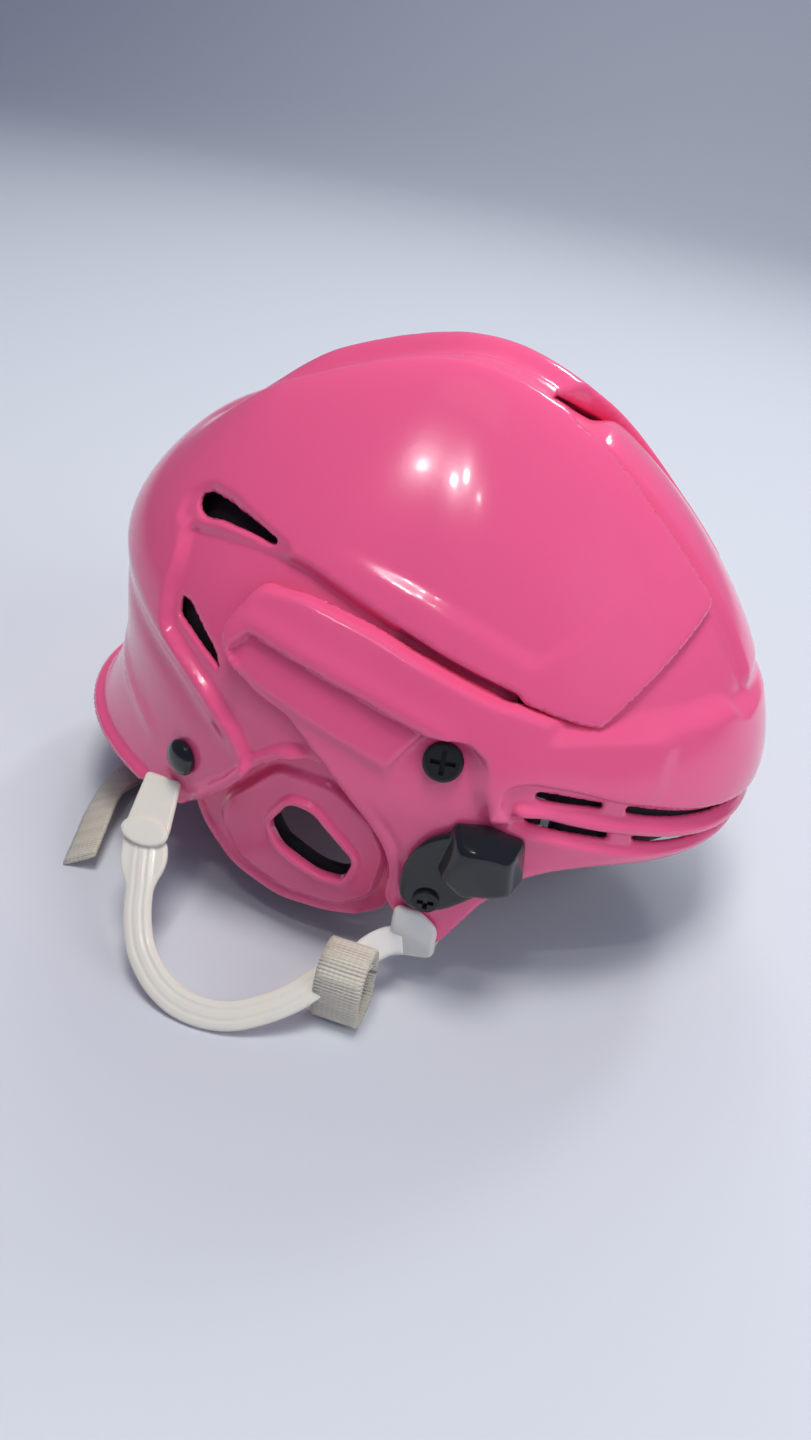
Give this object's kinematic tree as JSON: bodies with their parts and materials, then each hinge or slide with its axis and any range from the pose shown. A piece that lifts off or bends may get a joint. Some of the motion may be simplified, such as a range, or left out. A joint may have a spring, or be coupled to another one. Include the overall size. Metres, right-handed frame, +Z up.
{
  "type": "ice hockey helmet",
  "caption": "Two-piece ice hockey helmet with a telescoping size adjustment, foam liner, ear guards, face guard clips and straps.",
  "frame": {"origin": "centre of the footprint, on the surface the straps rest on", "axes": "+X to the wearer's front, +Y to the wearer's left, +Z up"},
  "size_m": [0.2606, 0.29, 0.1875],
  "materials": {
    "pink_shell": "glossy moulded polyethylene, hot pink",
    "liner_foam": "dark closed-cell foam",
    "black_gloss": "glossy black",
    "black_steel": "black coated steel",
    "steel": "plated steel",
    "black_plastic": "satin black",
    "clear_vinyl": "milky translucent vinyl",
    "white_vinyl": "soft white vinyl",
    "webbing": "cream ribbed webbing"
  },
  "bodies": {
    "rear": {"rear_shell": "pink_shell", "ear_guard_right": "pink_shell", "ear_guard_left": "pink_shell", "ear_foam_right": "liner_foam", "ear_foam_left": "liner_foam", "crown_pad": "liner_foam", "rear_pad": "liner_foam", "side_pad_right": "liner_foam", "side_pad_left": "liner_foam", "ear_guard_stud_right": "black_gloss", "ear_guard_stud_left": "black_gloss", "strap_tab_right": "clear_vinyl", "strap_tab_left": "clear_vinyl", "ear_loop_right": "clear_vinyl", "ear_loop_left": "clear_vinyl", "strap_keeper_right": "webbing", "strap_keeper_left": "webbing", "chin_strap": "webbing"},
    "front": {"front_shell": "pink_shell", "size_screw_right": "black_steel", "size_screw_left": "black_steel", "size_nut_right": "steel", "size_nut_left": "steel", "guard_clip_right": "black_plastic", "guard_clip_left": "black_plastic", "clip_screw_right": "black_steel", "clip_screw_left": "black_steel", "clip_nut_right": "steel", "clip_nut_left": "steel", "front_pad": "liner_foam", "upper_front_pad": "liner_foam", "front_crown_pad": "liner_foam", "temple_pad_right": "liner_foam", "temple_pad_left": "liner_foam", "strap_anchor_right": "white_vinyl", "strap_anchor_left": "white_vinyl"}
  },
  "joints": [
    {"name": "size_slide", "type": "slide", "parent": "rear", "child": "front", "axis": [1, 0, 0], "range_m": [-0.008, 0]}
  ]
}
